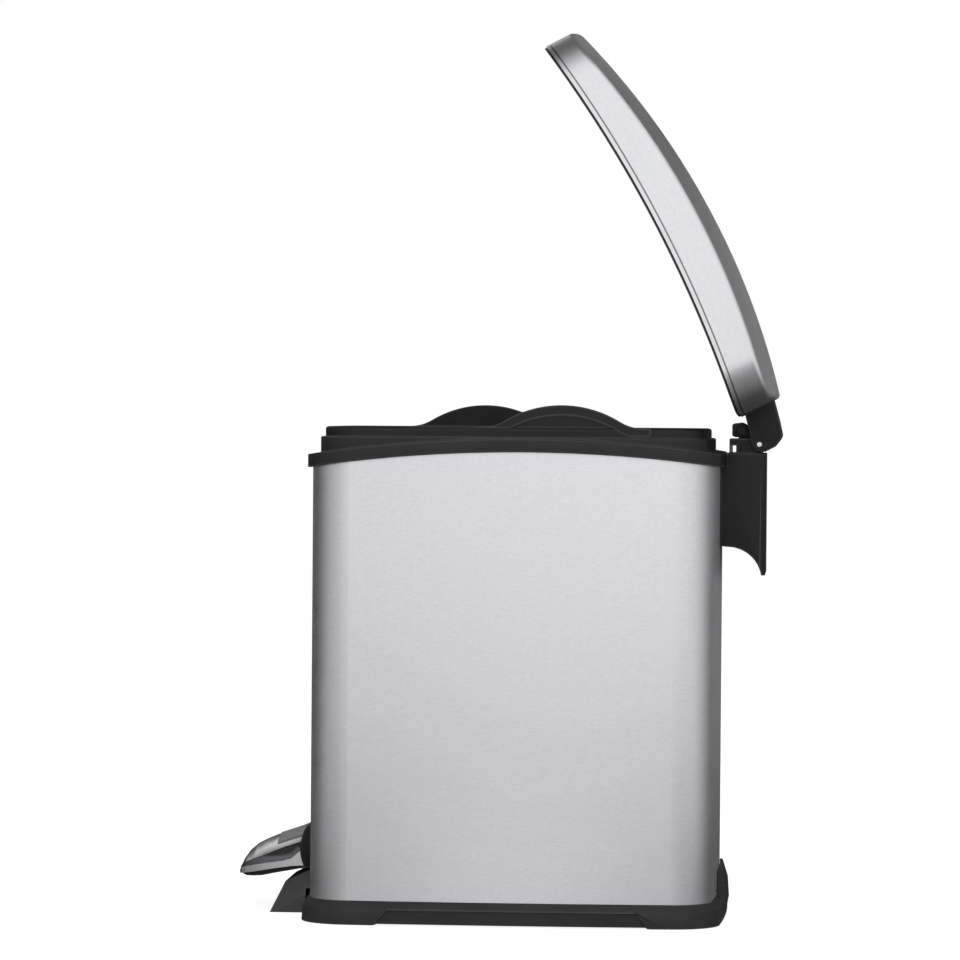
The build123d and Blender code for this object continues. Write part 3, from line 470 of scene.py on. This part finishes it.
# Each card: middle, size, turn, the axis it fades along with its two ends, and its greys. The side
# cards and the high one are light beside the camera and dark at the bin. The far card is dark, and
# the toe card is a light one for the pedal's crown.
front_fade = ((0.0, 0.02), (0.08, 0.03), (0.13, 0.12), (0.21, 0.46), (0.50, 0.74), (0.7, 0.90), (1.0, 1.1))
rear_fade = ((0.0, 0.02), (0.06, 0.10), (0.13, 0.42), (0.21, 0.78), (0.50, 0.92), (0.7, 1.0), (1.0, 1.1))
high_fade = ((0.0, 0.20), (0.35, 0.08), (0.55, 0.12), (0.72, 0.45), (1.0, 1.0))
far_fade = ((0.0, 0.02), (0.42, 0.03), (0.56, 0.12), (1.0, 0.12))
toe_fade = ((0.0, 0.85), (1.0, 0.85))
for card_name, middle, size, turn, axis, low, high, greys in (
    ("card_front", (3.4, -1.3, 1.3), (9.2, 2.6), (90, 0, 0), "X", -1.2, 8.0, front_fade),
    ("card_rear", (3.4, 1.3, 1.3), (9.2, 2.6), (90, 0, 0), "X", -1.2, 8.0, rear_fade),
    ("card_high", (0.5, 0.0, 2.6), (5.4, 4.0), (0, 0, 0), "X", -2.2, 3.2, high_fade),
    ("card_far", (-2.2, 0.0, 1.3), (2.6, 4.0), (0, 90, 0), "Y", -2.0, 2.0, far_fade),
    ("card_toe", (-1.9, -0.95, 1.7), (1.2, 1.1), (0, 90, 0), "Y", -2.0, 2.0, toe_fade),
):
    bpy.ops.mesh.primitive_grid_add(x_subdivisions=2, y_subdivisions=2, size=1, location=(0, 0, 0))
    card = bpy.context.object
    card.name = card_name
    card.scale = (*size, 1)
    card.rotation_euler = [radians(angle) for angle in turn]
    card.location = middle
    bpy.ops.object.transform_apply(location=True, rotation=True, scale=True)
    paint = Finish(card_name + "_grey", Specular_IOR_Level=0.0, Emission_Strength=1.0)
    place = paint.node("TexCoord", {}, {}, out="Object")
    distance = paint.clear(paint.node("SeparateXYZ", {}, {"Vector": place}, out=axis), low, high)
    fade = paint.node("ValToRGB", {"stops": greys}, {"Fac": distance}, out="Color")
    card.data.materials.append(paint.show(Base_Color=(0, 0, 0, 1), Emission_Color=fade))
    card.visible_camera = False
    card.visible_diffuse = False
    card.visible_shadow = False
    card.visible_transmission = False

# The camera stands on the bin's right, at about the height of its rim, with a long lens. It is
# turned a little towards the pedal and down.
camera_place = (4.47, 0.2800, 0.4539)
yaw, pitch, roll = radians(3.968), radians(0.783), radians(0.444)
bpy.ops.object.camera_add(location=camera_place)
camera = bpy.context.object
forward = Vector((-cos(pitch) * cos(yaw), -cos(pitch) * sin(yaw), -sin(pitch)))
level = forward.cross(Vector((0, 0, 1))).normalized()
above = level.cross(forward)
across = cos(roll) * level + sin(roll) * above
upright = cos(roll) * above - sin(roll) * level
camera.rotation_euler = Matrix((across, upright, -forward)).transposed().to_euler()
camera.data.sensor_width = 36
camera.data.lens = 183.24
bpy.context.scene.camera = camera
bpy.context.scene.view_settings.view_transform = "Standard"
